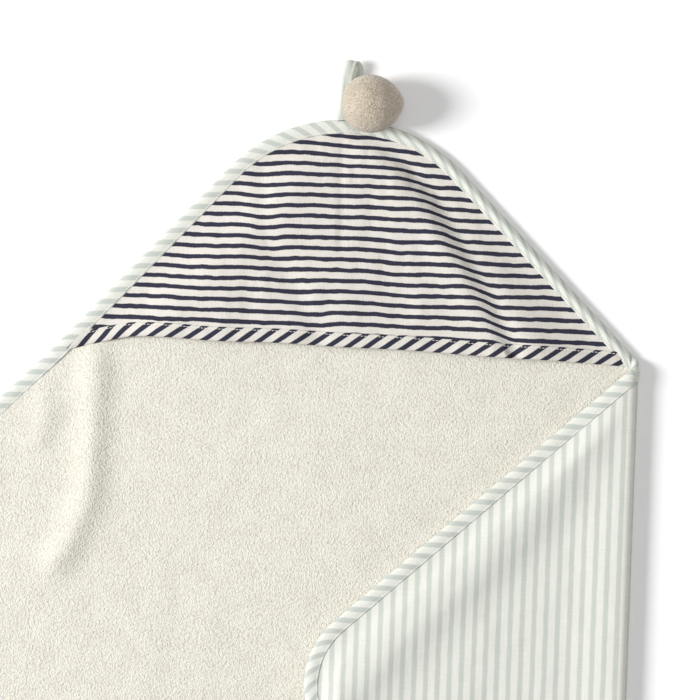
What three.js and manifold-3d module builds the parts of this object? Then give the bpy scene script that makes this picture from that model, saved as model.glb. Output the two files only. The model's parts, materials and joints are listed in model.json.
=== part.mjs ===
// Hooded baby towel, laid flat with one side corner turned over to the front.
//
// Millimetres. +Z up, z = 0 is the underside of the backing. The origin is the centre of the
// square cloth, +Y runs along the diagonal to the hood's tip and +X to the turned-over side.

import * as THREE from 'three';
import { mergeVertices } from 'three/addons/utils/BufferGeometryUtils.js';
import Module from 'manifold-3d';

const wasm = await Module();
wasm.setup();

// ---------------------------------------------------------------- driving dimensions
const clearance = 0.3; // gap between pieces that touch
const side = 762; // side of the square cloth
const cornerRadius = 72; // rounding of the towel's corners
const tipRadius = 136; // wider rounding of the corner under the hood
const hoodHalfWidth = 251.5; // half of the hood's front edge
const hoodCrown = 8; // how far the hood panel stands off the terry
const hoodSlope = 48; // width of the slope from the edge binding up to the crown
const backingThickness = 1.2;
const terryThickness = 3;
const panelThickness = 1.2;
const bindingWidth = 12; // finished width of both bias bindings, on each face
const bindingWall = 0.6; // the folded strip, on each face
const frontSlack = 0.6; // room round the panel inside its front binding
const threadWidth = 0.5;
const threadHeight = 0.3;
const threadInset = 1.8; // from a binding's inner edge to its seam
const bobbleRadius = 24;
const bobbleBulge = 1.3; // the bobble is this much wider than it is deep, on each side
const bobbleWall = 1.2;
const bobbleMouth = 3; // radius of the gathered mouth
const bobbleOffset = 17.5; // from the towel's axis
const shankRadius = 1.6; // bundle of thread that sews the bobble on
const loopLength = 46;
const loopWidth = 8.5;
const loopStrip = 1.2; // thickness of the folded strip
const loopBulb = 5.5; // outer radius of the loop's round end
const loopFoot = 1.3; // half the thickness of the two ends together, rounded where they turn
const loopSplit = 10; // length over which the two legs lie together
const loopOffset = -7.75; // the loop's middle, from the towel's axis
const barTackLength = 5;
const frontColumns = 30; // grid of the hood panel, along and up from its front edge
const panelRows = 13;

// How far each corner of the cloth lies from where a dead flat square would have it.
const laidTip = new THREE.Vector2(-5, 10);
const laidLeft = new THREE.Vector2(7, -2);
const laidBottom = new THREE.Vector2(1, 4);
const turnedStretch = new THREE.Vector2(-24, 2); // the turned corner is drawn out on the bias

// Height of the hood's front edge above the line between its two ends.
const frontEndLeft = -1;
const frontBendLeft = 0.72; // where the front's two bends lie, as shares of hoodHalfWidth
const frontBendRight = 0.55;
const frontRiseLeft = 9.5;
const frontRiseMiddle = 8;
const frontRiseRight = 4;
const frontEndRight = 0.5;

// ---------------------------------------------------------------- heights of the layers
const terryLow = backingThickness + clearance;
const clothTop = terryLow + terryThickness;
const panelLow = clothTop + clearance;
const hoodEdgeTop = panelLow + panelThickness - clearance + bindingWall; // the panel's rim is pressed thin
const seamThreadTop = clothTop + clearance + threadHeight;
const foldHeight = seamThreadTop + clearance; // middle of the fold, between the two plies
const hingeHeight = panelLow + panelThickness + frontSlack + bindingWall + 2 * clearance + threadHeight;

// ---------------------------------------------------------------- plan of the cloth
const halfDiagonal = side / Math.SQRT2;
const hoodLine = halfDiagonal - hoodHalfWidth;
const foldEdge = hoodHalfWidth; // the turned corner folds at the hood's end
const foldCentre = foldEdge - foldHeight;
const hoodHinge = hoodLine - 3;
const reach = side; // larger than any half extent

const tip = new THREE.Vector2(0, halfDiagonal).add(laidTip);
const hoodLeft = new THREE.Vector2(-hoodHalfWidth, hoodLine).add(laidLeft);
const left = new THREE.Vector2(-halfDiagonal, 0).add(laidLeft);
const bottom = new THREE.Vector2(0, -halfDiagonal).add(laidBottom);
const right = new THREE.Vector2(halfDiagonal, 0).add(laidTip);

function edgeAt(a, b, x) {
  return new THREE.Vector2().lerpVectors(a, b, (x - a.x) / (b.x - a.x));
}

const turnedCorner = new THREE.Vector2(2 * foldEdge - right.x, right.y).add(turnedStretch);
const turnedTop = edgeAt(turnedCorner, edgeAt(tip, right, foldEdge), reach);
const turnedBottom = edgeAt(turnedCorner, edgeAt(bottom, right, foldEdge), reach);

const clothCorners = [
  { at: tip, radius: tipRadius },
  { at: hoodLeft, radius: 0 },
  { at: left, radius: cornerRadius },
  { at: bottom, radius: cornerRadius },
  { at: right, radius: cornerRadius },
];
const turnedCorners = [
  { at: turnedCorner, radius: cornerRadius },
  { at: turnedBottom, radius: 0 },
  { at: turnedTop, radius: 0 },
];

function inwardNormal(a, b) {
  return new THREE.Vector2(a.y - b.y, b.x - a.x).normalize();
}

// Anticlockwise outline with rounded corners, drawn in from the cloth's edge by inset.
function outline(corners, inset) {
  const shape = new THREE.Shape();
  corners.forEach((corner, i) => {
    const before = inwardNormal(corners.at(i - 1).at, corner.at);
    const after = inwardNormal(corner.at, corners[(i + 1) % corners.length].at);
    const bisector = before.clone().add(after).divideScalar(1 + before.dot(after));
    const centre = corner.at.clone().addScaledVector(bisector, Math.max(corner.radius, inset));
    const radius = corner.radius - inset;
    if (radius > 0) {
      const from = Math.atan2(-before.y, -before.x);
      const to = Math.atan2(-after.y, -after.x);
      shape.absarc(centre.x, centre.y, radius, from, to, false);
    } else if (i === 0) {
      shape.moveTo(centre.x, centre.y);
    } else {
      shape.lineTo(centre.x, centre.y);
    }
  });
  shape.closePath();
  return shape;
}

// ---------------------------------------------------------------- solids
function solid(geometry) {
  const bare = geometry.clone();
  bare.deleteAttribute('normal');
  bare.deleteAttribute('uv');
  const merged = mergeVertices(bare);
  return new wasm.Manifold(new wasm.Mesh({
    numProp: 3,
    vertProperties: merged.attributes.position.array,
    triVerts: Uint32Array.from(merged.index.array),
  }));
}

function geometryOf(body) {
  const mesh = body.getMesh();
  const geometry = new THREE.BufferGeometry();
  geometry.setAttribute('position', new THREE.BufferAttribute(mesh.vertProperties, 3));
  geometry.setIndex(new THREE.BufferAttribute(mesh.triVerts, 1));
  geometry.computeVertexNormals();
  return geometry;
}

function block(low, high) {
  const size = new THREE.Vector3().subVectors(high, low);
  const middle = new THREE.Vector3().addVectors(high, low).divideScalar(2);
  return solid(new THREE.BoxGeometry(size.x, size.y, size.z).translate(middle.x, middle.y, middle.z));
}

// Upright prism over an outline, between two heights.
function prism(corners, inset, low, high) {
  const geometry = new THREE.ExtrudeGeometry(outline(corners, inset), {
    depth: high - low,
    bevelEnabled: false,
    curveSegments: 10,
  });
  return solid(geometry.translate(0, 0, low));
}

// Strip of the plan between two distances in from the cloth's edge.
function band(corners, outer, inner) {
  return prism(corners, outer, -reach, reach).subtract(prism(corners, inner, -2 * reach, 2 * reach));
}

// One ply between two heights over the whole cloth, with its quarter of the round of the fold.
function ply(low, high, turnedOver) {
  const outer = foldHeight - low;
  const inner = foldHeight - high;
  const split = clearance / 2;
  const section = new THREE.Shape();
  section.moveTo(-reach, high);
  section.lineTo(-reach, low);
  section.absarc(foldCentre, foldHeight, outer, -Math.PI / 2, -Math.asin(split / outer), false);
  section.absarc(foldCentre, foldHeight, inner, -Math.asin(split / inner), -Math.PI / 2, true);
  section.closePath();
  const geometry = new THREE.ExtrudeGeometry(section, {
    depth: 2 * reach,
    bevelEnabled: false,
    curveSegments: 6,
  });
  geometry.applyMatrix4(new THREE.Matrix4().makeBasis(
    new THREE.Vector3(1, 0, 0),
    new THREE.Vector3(0, 0, 1),
    new THREE.Vector3(0, -1, 0),
  ));
  geometry.translate(0, reach, -foldHeight);
  if (turnedOver) {
    geometry.rotateX(Math.PI);
  }
  return solid(geometry.translate(0, 0, foldHeight));
}

// A grid of columns bent to shape: place(u, v, w) gives the point for u, v, w from 0 to 1.
function bentSlab(columns, rows, place) {
  const geometry = new THREE.BoxGeometry(1, 1, 1, columns, rows, 1).translate(0.5, 0.5, 0.5);
  const position = geometry.attributes.position;
  for (let i = 0; i < position.count; i += 1) {
    const point = place(position.getX(i), position.getY(i), position.getZ(i));
    position.setXYZ(i, point.x, point.y, point.z);
  }
  return solid(geometry);
}

// ---------------------------------------------------------------- materials
const cloth = (color) => new THREE.MeshStandardMaterial({ color, roughness: 0.95, metalness: 0 });
const terryCloth = cloth(0xe9e6da);
const backingCloth = cloth(0xdcded6);
const biasStrip = cloth(0xd3d8cf);
const gauze = cloth(0xebe8e1);
const navyBias = cloth(0x50526a);
const paleThread = cloth(0xf2f0e8);
const darkThread = cloth(0x4a4a48);
const plush = cloth(0xd8c9b4);
const stuffing = cloth(0xf4f2ee);

// A cut can leave crumbs where two edges cross at the fold, so the piece is the largest solid.
function largest(body) {
  return body.decompose().reduce((kept, other) => (other.volume() > kept.volume() ? other : kept));
}

function piece(name, body, material) {
  const mesh = new THREE.Mesh(geometryOf(largest(body)), material);
  mesh.name = name;
  return mesh;
}

// ---------------------------------------------------------------- main cloth and turned corner
// The edge of each ply is pressed thin where it runs into the binding.
const slotLow = bindingWall;
const slotHigh = clothTop - bindingWall;
const belowHood = block(
  new THREE.Vector3(-reach, -reach, -reach),
  new THREE.Vector3(reach, hoodHinge - clearance / 2, reach),
);

function foldedCloth(suffix, corners, turnedOver) {
  const trimmed = (body) => body.intersect(belowHood);
  const pressed = band(corners, 0, bindingWidth + clearance);
  const inside = prism(corners, bindingWall + clearance, -reach, reach);
  const strip = ply(0, clothTop, turnedOver).intersect(band(corners, 0, bindingWidth));
  const slot = ply(slotLow, slotHigh, turnedOver).intersect(band(corners, bindingWall, 2 * bindingWidth));
  const seam = band(corners, bindingWidth - threadInset - threadWidth, bindingWidth - threadInset);
  const backing = ply(0, backingThickness, turnedOver)
    .subtract(ply(-reach, slotLow + clearance, turnedOver).intersect(pressed));
  const terry = ply(terryLow, clothTop, turnedOver)
    .subtract(ply(slotHigh - clearance, clothTop + clearance / 2, turnedOver).intersect(pressed));
  const thread = ply(clothTop + clearance, seamThreadTop, turnedOver).intersect(seam);
  const group = new THREE.Group();
  group.add(
    piece(`backing_${suffix}`, trimmed(backing.intersect(inside)), backingCloth),
    piece(`terry_${suffix}`, trimmed(terry.intersect(inside)), terryCloth),
    piece(`edge_binding_${suffix}`, trimmed(strip.subtract(slot)), biasStrip),
    piece(`edge_seam_thread_${suffix}`, trimmed(thread), paleThread),
  );
  return group;
}

// ---------------------------------------------------------------- hood corner
const hoodPlan = block(
  new THREE.Vector3(-reach, hoodHinge + clearance / 2, -reach),
  new THREE.Vector3(foldEdge - clearance, reach, reach),
);

function flat(low, high) {
  return block(new THREE.Vector3(-reach, -reach, low), new THREE.Vector3(reach, reach, high));
}

// The front edge of the hood, from its left end to its right end.
const frontCurve = new THREE.SplineCurve([
  new THREE.Vector2(hoodLeft.x - bindingWidth, hoodLine + frontEndLeft),
  new THREE.Vector2(-frontBendLeft * hoodHalfWidth, hoodLine + frontRiseLeft),
  new THREE.Vector2(0, hoodLine + frontRiseMiddle),
  new THREE.Vector2(frontBendRight * hoodHalfWidth, hoodLine + frontRiseRight),
  new THREE.Vector2(hoodHalfWidth, hoodLine + frontEndRight),
]);

// Distance of a point of the hood in from the towel's outer edge.
const leftInward = inwardNormal(tip, hoodLeft);
const rightInward = inwardNormal(right, tip);
const tipBisector = leftInward.clone().add(rightInward).divideScalar(1 + leftInward.dot(rightInward));
const tipCentre = tip.clone().addScaledVector(tipBisector, tipRadius);

function fromEdge(x, y) {
  const point = new THREE.Vector2(x, y);
  const fromCentre = point.clone().sub(tipCentre);
  const pastLeft = fromCentre.dot(new THREE.Vector2(-leftInward.y, leftInward.x)) < 0;
  const pastRight = fromCentre.dot(new THREE.Vector2(-rightInward.y, rightInward.x)) > 0;
  if (pastLeft && pastRight) {
    return tipRadius - fromCentre.length();
  }
  const fromTip = point.sub(tip);
  return Math.min(fromTip.dot(leftInward), fromTip.dot(rightInward));
}

// Underside of the hood panel: flat in the edge binding, then a slope up to the crown.
function panelUnderside(x, y) {
  const start = bindingWidth + 2 * clearance;
  return panelLow + hoodCrown * THREE.MathUtils.smoothstep(fromEdge(x, y), start, start + hoodSlope);
}

// A slab that follows the front edge in plan and the panel in height.
function alongFront(rows, near, far, below, above) {
  return bentSlab(frontColumns, rows, (u, v, w) => {
    const front = frontCurve.getPoint(u);
    const y = front.y + THREE.MathUtils.lerp(near, far(front), v);
    return new THREE.Vector3(front.x, y, panelUnderside(front.x, y) + THREE.MathUtils.lerp(below, above, w));
  });
}

function hoodCorner() {
  const hood = (body) => body.intersect(hoodPlan);
  const pressed = band(clothCorners, -clearance, bindingWidth + clearance);
  const inside = prism(clothCorners, bindingWall + clearance, -reach, reach);
  const within = prism(clothCorners, bindingWidth + clearance, -reach, reach);
  const aboveTerry = flat(panelLow, reach);
  const slotTop = hoodEdgeTop - bindingWall;
  const strip = flat(0, hoodEdgeTop).intersect(band(clothCorners, 0, bindingWidth));
  const slot = flat(slotLow, slotTop).intersect(band(clothCorners, bindingWall, 2 * bindingWidth));
  const seam = band(clothCorners, bindingWidth - threadInset - threadWidth, bindingWidth - threadInset);
  const seamLow = hoodEdgeTop + clearance;
  const backing = flat(0, backingThickness)
    .subtract(flat(-reach, slotLow + clearance).intersect(pressed));
  const pastEdge = (front) => Math.max(tip.y - Math.abs(front.x - tip.x) - front.y, 0) + bindingWidth;
  const panel = alongFront(panelRows, bindingWall + clearance, pastEdge, 0, panelThickness)
    .subtract(flat(slotTop - clearance, reach).intersect(pressed));
  const frontTop = panelThickness + frontSlack + bindingWall;
  const frontOuter = alongFront(4, 0, () => bindingWidth, -frontSlack - bindingWall, frontTop);
  const frontSlot = alongFront(
    6,
    bindingWall,
    () => 2 * bindingWidth,
    -frontSlack,
    panelThickness + frontSlack,
  );
  const frontSeam = alongFront(
    1,
    bindingWidth - threadInset - threadWidth,
    () => bindingWidth - threadInset,
    frontTop + clearance,
    frontTop + clearance + threadHeight,
  );
  const front = (body) => hood(body.intersect(within).intersect(aboveTerry));
  const group = new THREE.Group();
  group.add(
    piece('backing_hood_corner', hood(backing.intersect(inside)), backingCloth),
    piece('terry_hood_corner', hood(flat(terryLow, clothTop).intersect(inside)), terryCloth),
    piece('hood_panel', hood(panel.intersect(inside)), gauze),
    piece('edge_binding_hood', hood(strip.subtract(slot)), biasStrip),
    piece('edge_seam_thread_hood', hood(flat(seamLow, seamLow + threadHeight).intersect(seam)), paleThread),
    piece('hood_front_binding', front(frontOuter.subtract(frontSlot)), navyBias),
    piece('hood_front_seam_thread', front(frontSeam), paleThread),
  );
  return group;
}

// ---------------------------------------------------------------- hanging loop
// Lies along +Y from the seam, with its legs one above the other. Local x is the loop's length.
function tearOutline(footAt, footHalf, bulbAt, bulbRadius) {
  const distance = bulbAt - footAt;
  const toFoot = Math.PI - Math.atan(footHalf / distance);
  const tangent = toFoot - Math.acos(bulbRadius / Math.hypot(distance, footHalf));
  const path = new THREE.Shape();
  path.moveTo(footAt, footHalf);
  path.absarc(footAt, 0, footHalf, Math.PI / 2, 1.5 * Math.PI, false);
  path.absarc(bulbAt, 0, bulbRadius, -tangent, tangent, false);
  path.closePath();
  return path;
}

function hangingLoop() {
  const bulbAt = loopLength - loopBulb;
  const shape = tearOutline(0, loopFoot, bulbAt, loopBulb);
  shape.holes.push(tearOutline(loopSplit, clearance, bulbAt, loopBulb - loopStrip));
  const geometry = new THREE.ExtrudeGeometry(shape, {
    depth: loopWidth,
    bevelEnabled: false,
    curveSegments: 12,
  });
  geometry.translate(0, 0, -loopWidth / 2);
  geometry.applyMatrix4(new THREE.Matrix4().makeBasis(
    new THREE.Vector3(0, 1, 0),
    new THREE.Vector3(0, 0, 1),
    new THREE.Vector3(1, 0, 0),
  ));
  const group = new THREE.Group();
  const seamHeight = hoodEdgeTop / 2;
  const nearestEdge = tipEdge(loopOffset + loopWidth / 2);
  group.position.set(loopOffset, nearestEdge + clearance + loopFoot, seamHeight);
  group.rotation.x = Math.asin((loopBulb + 2 * clearance - seamHeight) / bulbAt);
  group.add(piece('hanging_loop', solid(geometry), biasStrip));
  return group;
}

function loopBarTack() {
  const tack = new THREE.CapsuleGeometry(threadWidth / 2, barTackLength, 4, 8).rotateZ(Math.PI / 2);
  const mesh = piece('loop_bar_tack', solid(tack), darkThread);
  const height = hoodEdgeTop + clearance + threadWidth / 2;
  mesh.position.set(loopOffset, tipEdge(loopOffset) - threadInset, height);
  return mesh;
}

// ---------------------------------------------------------------- bobble
// The bobble lies on the floor and against the top corner of the edge binding, where it is sewn.
// Its left side is flattened against the hanging loop.
function ball(shrink, flatSide) {
  const radius = bobbleRadius - shrink;
  const sphere = new THREE.SphereGeometry(1, 20, 14).scale(radius + bobbleBulge, radius, radius);
  const kept = block(
    new THREE.Vector3(flatSide + shrink, -reach, -reach),
    new THREE.Vector3(reach, reach, reach),
  );
  return solid(sphere).intersect(kept);
}

function bobble() {
  const toCorner = bobbleRadius + clearance;
  const drop = bobbleRadius - hoodEdgeTop;
  const overhang = Math.sqrt(toCorner * toCorner - drop * drop);
  const flatSide = loopOffset + loopWidth / 2 + clearance - bobbleOffset;
  const seat = new THREE.Vector3(0, -overhang, -drop).normalize();
  const towardsSeat = (radius, from, to) => {
    const rod = new THREE.CylinderGeometry(radius, radius, to - from, 16);
    rod.applyQuaternion(new THREE.Quaternion().setFromUnitVectors(new THREE.Vector3(0, 1, 0), seat));
    const middle = seat.clone().multiplyScalar((from + to) / 2);
    return solid(rod.translate(middle.x, middle.y, middle.z));
  };
  const fillingRadius = bobbleRadius - bobbleWall - clearance;
  const cover = ball(0, flatSide)
    .subtract(ball(bobbleWall, flatSide))
    .subtract(towardsSeat(bobbleMouth, bobbleRadius / 2, 2 * bobbleRadius));
  const group = new THREE.Group();
  group.position.set(bobbleOffset, tipEdge(bobbleOffset) + overhang, bobbleRadius);
  group.add(
    piece('bobble_cover', cover, plush),
    piece('bobble_filling', ball(bobbleWall + clearance, flatSide), stuffing),
    piece('bobble_sewing_thread', towardsSeat(shankRadius, fillingRadius + clearance, bobbleRadius), darkThread),
  );
  return group;
}

// The towel's outer edge at the tip, at a distance from the towel's axis.
function tipEdge(x) {
  const across = x - tipCentre.x;
  return tipCentre.y + Math.sqrt(tipRadius * tipRadius - across * across);
}

const towel = new THREE.Group();
towel.add(
  foldedCloth('body', clothCorners, false),
  foldedCloth('turned_corner', turnedCorners, true),
  hoodCorner(),
  hangingLoop(),
  loopBarTack(),
  bobble(),
);

export default towel;
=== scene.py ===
# Hooded baby towel, laid flat with its right side corner turned over to the front.
# Metres, +Z up, +Y to the hood's tip. Plans and heights are worked out in millimetres.
import json
import math

import bmesh
import bpy
import numpy as np
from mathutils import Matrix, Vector


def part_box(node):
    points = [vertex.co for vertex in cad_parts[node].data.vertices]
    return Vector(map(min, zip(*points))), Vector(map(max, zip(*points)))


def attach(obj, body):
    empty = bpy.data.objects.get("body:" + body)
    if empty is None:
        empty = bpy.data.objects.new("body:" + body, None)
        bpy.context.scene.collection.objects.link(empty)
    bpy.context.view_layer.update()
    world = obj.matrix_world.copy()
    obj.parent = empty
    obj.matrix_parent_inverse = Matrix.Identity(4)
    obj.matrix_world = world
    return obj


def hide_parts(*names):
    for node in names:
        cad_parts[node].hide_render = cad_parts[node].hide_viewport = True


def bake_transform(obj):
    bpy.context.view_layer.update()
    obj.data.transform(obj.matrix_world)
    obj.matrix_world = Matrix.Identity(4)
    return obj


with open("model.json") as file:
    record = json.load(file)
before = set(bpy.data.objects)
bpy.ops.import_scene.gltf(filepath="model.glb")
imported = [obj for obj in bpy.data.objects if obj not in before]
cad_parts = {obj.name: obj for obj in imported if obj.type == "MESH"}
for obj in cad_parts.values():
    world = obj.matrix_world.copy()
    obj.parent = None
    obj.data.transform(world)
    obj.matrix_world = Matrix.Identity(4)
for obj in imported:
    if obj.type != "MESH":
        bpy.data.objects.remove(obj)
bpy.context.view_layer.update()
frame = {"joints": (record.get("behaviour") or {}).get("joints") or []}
joints = {joint["name"]: joint for joint in frame["joints"]}

# ------------------------------------------------------------------ terry
# Looped cotton terry, one 762 mm square with rounded corners, the widest at the hood's tip. Its
# right corner is turned over to the front, and only the edge binding holds it to the backing.
MM = 0.001
SIDE = 762
CORNER_RADIUS = 72
TIP_RADIUS = 136
FOLD_X = joints["corner_unfold"]["pos_m"][0] / MM
FOLD_Z = joints["corner_unfold"]["pos_m"][2] / MM
HINGE_Y = joints["hood_lift"]["pos_m"][1] / MM
HALF = SIDE / math.sqrt(2)
HOOD_LINE = HALF - FOLD_X
TIP = np.array((-5.0, HALF + 10))
HOOD_LEFT = np.array((7.0 - FOLD_X, HOOD_LINE - 2))
LEFT = np.array((7.0 - HALF, -2.0))
BOTTOM = np.array((1.0, 4 - HALF))
RIGHT = np.array((HALF - 5, 10.0))
TURNED = np.array((2 * FOLD_X - RIGHT[0] - 24, RIGHT[1] + 2))


def point_at(a, b, x):
    return a + (b - a) * (x - a[0]) / (b[0] - a[0])


def inward(a, b):
    along = (b - a) / np.linalg.norm(b - a)
    return np.array((-along[1], along[0]))


def outline(corners, inset, step=3.0):
    """Closed anticlockwise outline, drawn in by inset: points about step apart."""
    knots = []
    for i, (at, radius) in enumerate(corners):
        before = inward(corners[i - 1][0], at)
        after = inward(at, corners[(i + 1) % len(corners)][0])
        bisector = (before + after) / (1 + before @ after)
        if radius <= inset:
            knots.append(at + bisector * inset)
            continue
        centre = at + bisector * radius
        start = math.atan2(-before[1], -before[0])
        turn = (math.atan2(-after[1], -after[0]) - start) % (2 * math.pi)
        for share in np.linspace(0, 1, max(3, math.ceil(turn * radius / step))):
            angle = start + turn * share
            knots.append(centre + (radius - inset) * np.array((math.cos(angle), math.sin(angle))))
    line = []
    for a, b in zip(knots, knots[1:] + knots[:1]):
        pieces = max(1, math.ceil(np.linalg.norm(b - a) / step))
        line += [a + (b - a) * k / pieces for k in range(pieces)]
    return np.array(line)


TURNED_TOP = point_at(TIP, RIGHT, FOLD_X)
TURNED_BOTTOM = point_at(BOTTOM, RIGHT, FOLD_X)
cloth_corners = [
    (TIP, TIP_RADIUS),
    (HOOD_LEFT, 0),
    (LEFT, CORNER_RADIUS),
    (BOTTOM, CORNER_RADIUS),
    (RIGHT, CORNER_RADIUS),
]
turned_corners = [
    (TURNED, CORNER_RADIUS),
    (point_at(TURNED, TURNED_BOTTOM, SIDE), 0),
    (point_at(TURNED, TURNED_TOP, SIDE), 0),
]


def side_of(line, rising):
    """The left or the right side of an outline, from its lowest point to its highest."""
    low, high = line[:, 1].argmin(), line[:, 1].argmax()
    turned = np.roll(line, -low, axis=0)
    top = (high - low) % len(line)
    right_side, left_side = turned[: top + 1], turned[top:][::-1]
    return right_side if rising == "right" else left_side


def edge_x(line, y, rising):
    side = side_of(line, rising)
    order = np.argsort(side[:, 1])
    return np.interp(y, side[order, 1], side[order, 0])


def from_line(x, y, line):
    """Distance of each point from an open line of points, and the share of the line passed there."""
    best = np.full(x.shape, np.inf)
    sign, share = np.ones(x.shape), np.zeros(x.shape)
    lengths = np.linalg.norm(np.diff(line, axis=0), axis=1)
    starts = np.concatenate([[0], np.cumsum(lengths)])
    for k, (a, b) in enumerate(zip(line[:-1], line[1:])):
        along = (b - a) / lengths[k]
        t = np.clip((x - a[0]) * along[0] + (y - a[1]) * along[1], 0, lengths[k])
        dx, dy = x - a[0] - t * along[0], y - a[1] - t * along[1]
        distance = np.hypot(dx, dy)
        nearer = distance < best
        best = np.where(nearer, distance, best)
        sign = np.where(nearer, np.sign(along[1] * dx - along[0] * dy), sign)
        share = np.where(nearer, (starts[k] + t) / starts[-1], share)
    return best, sign, share


def smooth(value, low, high):
    t = np.clip((value - low) / (high - low), 0, 1)
    return t * t * (3 - 2 * t)


def waves(x, y, size, seed):
    """Smooth irregular waves between -1 and 1, about size across."""
    table = np.random.default_rng(seed).uniform(-1, 1, (64, 64))
    u, v = x / size, y / size
    i, j = np.floor(u).astype(int), np.floor(v).astype(int)
    fu, fv = smooth(u - i, 0, 1), smooth(v - j, 0, 1)
    low = table[i % 64, j % 64] * (1 - fu) + table[(i + 1) % 64, j % 64] * fu
    high = table[i % 64, (j + 1) % 64] * (1 - fu) + table[(i + 1) % 64, (j + 1) % 64] * fu
    return low * (1 - fv) + high * fv


def ridge(x, y, line, height, left, right, fade=0.15):
    """A soft fold along a line: height tall, with its own width on the left and the right of it."""
    distance, sign, share = from_line(x, y, np.array(line, float))
    width = np.where(sign > 0, right, left)
    ends = smooth(share, 0, fade) * smooth(share, 1, 1 - fade)
    return height * ends * np.exp(-((distance / width) ** 2))


def sheet_mesh(name, points, faces, cloth, smooth_faces=True):
    """A mesh from points in millimetres. cloth is each point's place on the flat cloth, in mm."""
    mesh = bpy.data.meshes.new(name)
    mesh.from_pydata((points * MM).tolist(), [], faces)
    mesh.attributes.new("cloth", "FLOAT_VECTOR", "POINT").data.foreach_set(
        "vector", np.asarray(cloth, np.float32).ravel()
    )
    mesh.polygons.foreach_set("use_smooth", [smooth_faces] * len(mesh.polygons))
    mesh.validate()
    piece = bpy.data.objects.new(name, mesh)
    bpy.context.scene.collection.objects.link(piece)
    return piece


def grid_faces(rows, columns, points, flip=False, around=False):
    """Quads of a grid of points, without those that have no area."""
    index = np.arange(rows * columns).reshape(rows, columns)
    if around:
        index = np.concatenate([index, index[:, :1]], axis=1)
    corners = [index[:-1, :-1], index[:-1, 1:], index[1:, 1:], index[1:, :-1]]
    quads = np.stack(corners, axis=-1).reshape(-1, 4)
    a, b, c, d = (points[quads[:, k]] for k in range(4))
    area = np.linalg.norm(np.cross(c - a, d - b), axis=1)
    quads = quads[area > 0.02]
    return (quads[:, ::-1] if flip else quads).tolist()


def tidied(piece, distance=0.02):
    """Joins points that lie on each other, such as the ends of rows that narrow to nothing."""
    work = bmesh.new()
    work.from_mesh(piece.data)
    bmesh.ops.remove_doubles(work, verts=work.verts, dist=distance * MM)
    bmesh.ops.dissolve_degenerate(work, edges=work.edges, dist=distance * MM)
    loose = [v for v in work.verts if not v.link_faces]
    bmesh.ops.delete(work, geom=loose, context="VERTS")
    work.to_mesh(piece.data)
    work.free()
    return piece


# The folds that the cloth lies in. The terry has one long soft ridge on its left; the turned
# corner rises in a broad roll along its bound edge and drops again towards the fold.
CREST_LEFT = [(-208, 306), (-206, 262), (-207, 205), (-210, 160), (-224, 120), (-252, 84)]
CREST_FAR_LEFT = [(-262, 268), (-246, 232), (-254, 196)]
CREST_TURNED = [(228, 268), (186, 190), (143, 138), (92, 85), (38, 32), (-6, -18), (22, -66)]


LOFT = 5.0  # how much higher the fold stands than two plies pressed flat
FOLD_REACH = FOLD_Z + LOFT / 2
FOLD_CENTRE = FOLD_X - FOLD_REACH
FOLD_LENGTH = math.pi * (FOLD_REACH - 2.5)
cloth_line = outline(cloth_corners, 0)
turned_line = outline(turned_corners, 0)


def laid(across, y, layer):
    """Where a point of the flat cloth lies once the corner is turned over. layer is its height
    in the towel, from the floor up."""
    across, y, layer = np.broadcast_arrays(across, y, layer)
    share = np.clip((across - FOLD_CENTRE) / FOLD_LENGTH, 0, 1)
    angle = math.pi * share
    radius = FOLD_REACH - layer
    past = np.clip(across - FOLD_CENTRE - FOLD_LENGTH, 0, None)
    x = np.where(across < FOLD_CENTRE, across, FOLD_CENTRE + radius * np.sin(angle) - past)
    z = FOLD_REACH - radius * np.cos(angle)
    z = z - np.where(share >= 1, LOFT * (1 - np.exp(-((past / 30) ** 2))), 0)
    return np.stack([x, y + 0 * x, z], axis=-1)


def unturned(line):
    """A line drawn on the turned-over corner, in the coordinates of the flat cloth."""
    return np.stack([FOLD_CENTRE + FOLD_LENGTH + FOLD_CENTRE - line[:, 0], line[:, 1]], axis=1)


def body_lie(x, y):
    """How high the cloth of the body stands off the floor: nothing along its edges or the fold."""
    from_edge = np.minimum(*(from_line(x, y, side_of(cloth_line, s))[0] for s in ("left", "right")))
    from_flap, sign, _ = from_line(x, y, side_of(turned_line, "left"))
    clear = np.where(sign < 0, smooth(from_flap, 2, 30), 0)
    lie = ridge(x, y, CREST_LEFT, 4.8, 12, 14) + ridge(x, y, CREST_FAR_LEFT, 2.2, 10, 12)
    lie += 0.4 + 0.8 * waves(x, y, 70, 3) + 0.35 * waves(x, y, 26, 4)
    return lie * smooth(from_edge, 10, 30) * clear


def turned_lie(x, y):
    """How high the turned-over corner stands off the cloth under it."""
    from_edge = from_line(x, y, side_of(turned_line, "left"))[0]
    lie = ridge(x, y, CREST_TURNED, 6.0, 22, 26, fade=0.1)
    lie += smooth(y, 170, 275) * 1.3 * waves(x + 0.7 * y, y, 24, 8)
    lie += 0.5 * waves(x + 0.8 * y, 0.5 * y - x, 34, 9) + 0.2 * waves(x, y, 12, 10)
    return lie * smooth(from_edge, 9, 30) * smooth(FOLD_CENTRE - x, 0, 22)


def ply_points(rows, across, layer, body_share, turned_share):
    points = laid(across, rows[:, None], layer)
    x, y = points[..., 0], points[..., 1]
    body = across <= FOLD_CENTRE
    turned = across > FOLD_CENTRE + FOLD_LENGTH
    points[..., 2] += np.where(body, body_share * body_lie(x, y), 0)
    points[..., 2] += np.where(turned, turned_share * turned_lie(x, y), 0)
    return points


def row_heights(low, high, step):
    return np.linspace(low, high, max(2, round((high - low) / step) + 1))


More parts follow.
